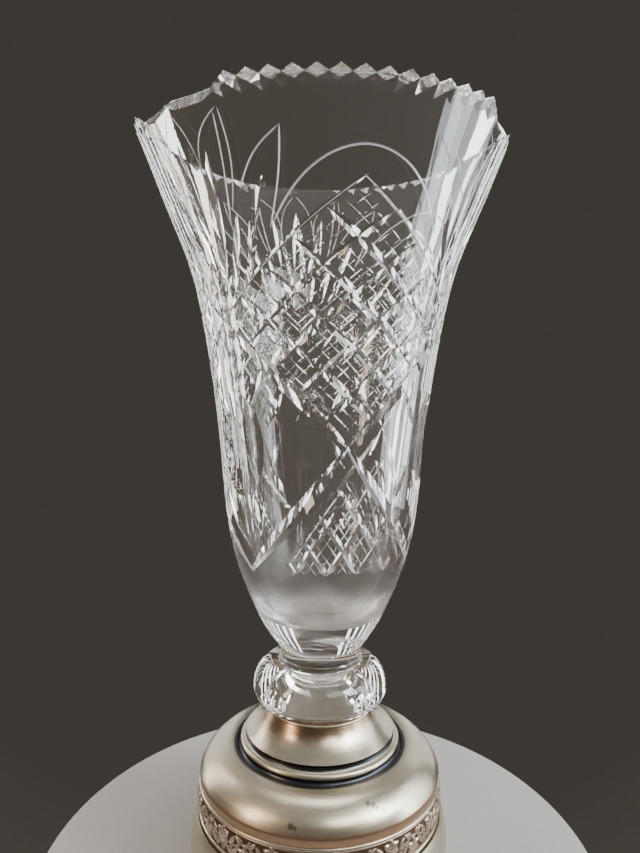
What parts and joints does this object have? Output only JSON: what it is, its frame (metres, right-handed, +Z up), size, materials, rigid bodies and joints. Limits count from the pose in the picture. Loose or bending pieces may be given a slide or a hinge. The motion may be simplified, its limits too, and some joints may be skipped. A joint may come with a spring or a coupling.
{
  "type": "footed flower vase",
  "caption": "Tall cut crystal flower vase: flared bowl with a sawtooth and scalloped rim, ball knop, and a stepped silver foot with an embossed floral band.",
  "frame": {"origin": "centre of the flat underside, on the table", "axes": "+Z up along the vase's axis; -Y is the middle of one of the three toothed panels of the rim"},
  "size_m": [0.144, 0.1425, 0.3],
  "materials": {
    "crystal": "clear polished lead crystal",
    "cork": "pressed cork",
    "plaster": "set plaster",
    "collar_silver": "spun silver, warm brown tarnish at the top",
    "ring_silver": "turned silver, dark oxidised coves",
    "shoulder_silver": "worn polished silver with tarnish spots",
    "wire_silver": "drawn silver wire",
    "floral_silver": "embossed silver, oxidised in the ground",
    "moulding_silver": "worn polished silver, warm tint",
    "foot_silver": "worn polished silver",
    "steel_plate": "plain steel sheet",
    "felt": "dark green felt"
  },
  "bodies": {
    "root": {"crystal_vase": "crystal", "cork_seat_ring": "cork", "peg_cement": "plaster", "collar": "collar_silver", "collar_lip_wire": "wire_silver", "step_ring": "ring_silver", "shoulder": "shoulder_silver", "upper_bead_wire": "wire_silver", "floral_band": "floral_silver", "lower_bead_wire": "wire_silver", "barrel_moulding": "moulding_silver", "foot_rim": "foot_silver", "ballast": "plaster", "base_plate": "steel_plate", "felt_pad": "felt"}
  },
  "joints": []
}
